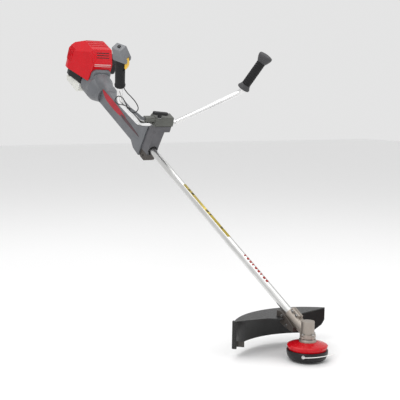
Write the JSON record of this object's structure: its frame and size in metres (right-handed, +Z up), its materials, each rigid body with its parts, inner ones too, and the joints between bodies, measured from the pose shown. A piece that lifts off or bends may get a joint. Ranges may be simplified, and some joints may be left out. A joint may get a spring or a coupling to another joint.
{
  "type": "brush mower",
  "caption": "Petrol brush cutter: straight tubular shaft, guarded line head at the foot, U handlebar with throttle grip, and a small covered engine with recoil starter at the back.",
  "frame": {"origin": "middle of the cutting head's underside, where the bump button touches the ground", "axes": "+Z up, square to the level cutting plane; +X forward, from the engine to the head; +Y to the operator's left. The shaft rises backwards at 28.66 degrees."},
  "size_m": [1.7256, 0.6954, 1.0665],
  "materials": {
    "bright_tube": "satin anodised",
    "polished_bar": "bright",
    "cast_metal": "cast, bead blasted",
    "steel": "ground",
    "sintered_metal": "as sintered",
    "hot_steel": "heat-proof matt black",
    "red_plastic": "gloss",
    "black_plastic": "fine grain",
    "grey_plastic": "fine grain",
    "grip_rubber": "ribbed",
    "yellow_plastic": "gloss",
    "white_plastic": "slightly translucent",
    "nylon_line": "smooth",
    "filter_foam": "open foam",
    "rope_fibre": "braided"
  },
  "bodies": {
    "machine": {"gear_case": "cast_metal", "gear_case_cap": "cast_metal", "guard": "grey_plastic", "guard_bracket": "black_plastic", "line_cutter": "steel", "shaft_tube": "bright_tube", "shaft_bushings": "grey_plastic", "bracket_body": "grey_plastic", "damper_rings": "grip_rubber", "bracket_foot": "black_plastic", "clamp_cap": "grey_plastic", "shaft_cover_right": "grey_plastic", "shaft_cover_left": "grey_plastic", "clutch_housing": "grey_plastic", "crankcase": "cast_metal", "cylinder": "cast_metal", "spark_plug": "steel", "muffler": "hot_steel", "top_cover": "red_plastic", "lower_shroud": "black_plastic", "carburetor": "black_plastic", "air_filter": "filter_foam", "fuel_tank": "white_plastic", "recoil_case": "black_plastic", "bearings": "steel", "screws": "steel"},
    "head": {"head_housing": "red_plastic", "head_cover": "black_plastic", "output_shaft": "steel", "bevel_gear": "steel", "blade_holder": "cast_metal", "line_eyelet": "steel", "trimmer_line": "nylon_line", "head_spring": "steel"},
    "bump": {"bump_button": "black_plastic"},
    "line_spool": {"spool": "black_plastic"},
    "drive": {"drive_shaft": "steel", "bevel_pinion": "steel", "clutch_drum": "steel"},
    "crank": {"crankshaft": "steel", "flywheel_fan": "sintered_metal", "clutch_rotor": "sintered_metal"},
    "washer": {"knob_washer": "steel"},
    "knob": {"clamp_knob": "black_plastic"},
    "bars": {"handlebar": "polished_bar", "left_grip": "grip_rubber", "right_grip": "grip_rubber", "throttle_housing": "grey_plastic", "throttle_cable": "black_plastic", "cable_sleeve": "grey_plastic"},
    "trigger": {"throttle_trigger": "yellow_plastic"},
    "lockout": {"trigger_lockout": "black_plastic"},
    "switch": {"stop_switch": "black_plastic"},
    "primer": {"primer_bulb": "grip_rubber"},
    "choke": {"choke_lever": "black_plastic"},
    "cleaner_cover": {"air_cleaner_cover": "black_plastic"},
    "tank_cap": {"fuel_cap": "black_plastic"},
    "pulley": {"recoil_pulley": "black_plastic"},
    "starter": {"starter_grip": "black_plastic", "starter_rope": "rope_fibre"}
  },
  "joints": [
    {"name": "head_spin", "type": "hinge", "parent": "machine", "child": "head", "pos_m": [0, 0, 0], "axis": [0, 0, 1], "continuous": true},
    {"name": "drive_spin", "type": "hinge", "parent": "machine", "child": "drive", "pos_m": [0, 0, 0.086], "axis": [0.8775, 0, -0.4796], "continuous": true},
    {"name": "crank_spin", "type": "hinge", "parent": "machine", "child": "crank", "pos_m": [0, 0, 0.086], "axis": [0.8775, 0, -0.4796], "continuous": true},
    {"name": "bump_press", "type": "slide", "parent": "head", "child": "bump", "axis": [0, 0, 1], "range_m": [0, 0.006], "stiffness_N_per_m": 1500, "springref_m": -0.01, "deforming": ["head_spring"]},
    {"name": "spool_turn", "type": "hinge", "parent": "bump", "child": "line_spool", "pos_m": [0, 0, 0], "axis": [0, 0, 1], "continuous": true},
    {"name": "knob_lift", "type": "slide", "parent": "machine", "child": "washer", "axis": [0.4796, 0, 0.8775], "range_m": [0, 0.005]},
    {"name": "knob_turn", "type": "hinge", "parent": "washer", "child": "knob", "pos_m": [-0.88028, -0.022, 0.74606], "axis": [0.4796, 0, 0.8775], "range_deg": [0, 1440.1]},
    {"name": "bars_tilt", "type": "hinge", "parent": "machine", "child": "bars", "pos_m": [-0.91382, 0, 0.72223], "axis": [0, 1, 0], "range_deg": [-20, 20]},
    {"name": "trigger_squeeze", "type": "hinge", "parent": "bars", "child": "trigger", "pos_m": [-0.65126, -0.29684, 0.95464], "axis": [-0.3451, 0.7849, 0.5146], "range_deg": [0, 12], "stiffness_Nm_per_rad": 1, "springref_deg": -17.19},
    {"name": "lockout_press", "type": "hinge", "parent": "bars", "child": "lockout", "pos_m": [-0.6833, -0.31963, 0.96791], "axis": [0.3451, -0.7849, -0.5146], "range_deg": [0, 8], "stiffness_Nm_per_rad": 0.6, "springref_deg": -17.19},
    {"name": "stop_switch_slide", "type": "slide", "parent": "bars", "child": "switch", "axis": [0.7721, 0.5492, -0.3199], "range_m": [0, 0.005]},
    {"name": "primer_press", "type": "slide", "parent": "machine", "child": "primer", "axis": [0.4796, 0, 0.8775], "range_m": [0, 0.003], "stiffness_N_per_m": 600, "springref_m": -0.004},
    {"name": "choke_turn", "type": "hinge", "parent": "machine", "child": "choke", "pos_m": [-1.4369, 0.074, 0.98078], "axis": [0, -1, 0], "range_deg": [0, 60]},
    {"name": "cleaner_cover_swing", "type": "hinge", "parent": "machine", "child": "cleaner_cover", "pos_m": [-1.51764, 0.0725, 0.94149], "axis": [-0.8775, 0, 0.4796], "range_deg": [0, 75]},
    {"name": "fuel_cap_turn", "type": "hinge", "parent": "machine", "child": "tank_cap", "pos_m": [-1.57767, 0.075, 0.90046], "axis": [0, 1, 0], "range_deg": [0, 90]},
    {"name": "recoil_turn", "type": "hinge", "parent": "machine", "child": "pulley", "pos_m": [-1.59263, 0, 0.95649], "axis": [0.8775, 0, -0.4796], "range_deg": [-1592, 0]},
    {"name": "starter_pull", "type": "slide", "parent": "machine", "child": "starter", "axis": [0, 1, 0], "range_m": [0, 0.75], "stiffness_N_per_m": 15, "springref_m": -0.5, "deforming": ["starter_rope"]}
  ],
  "couplings": [
    {"joint": "drive_spin", "follows": "head_spin", "ratio": 1.3571},
    {"joint": "knob_turn", "follows": "knob_lift", "rad_per_m": 5026.5},
    {"joint": "recoil_turn", "follows": "starter_pull", "rad_per_m": -37.037}
  ]
}
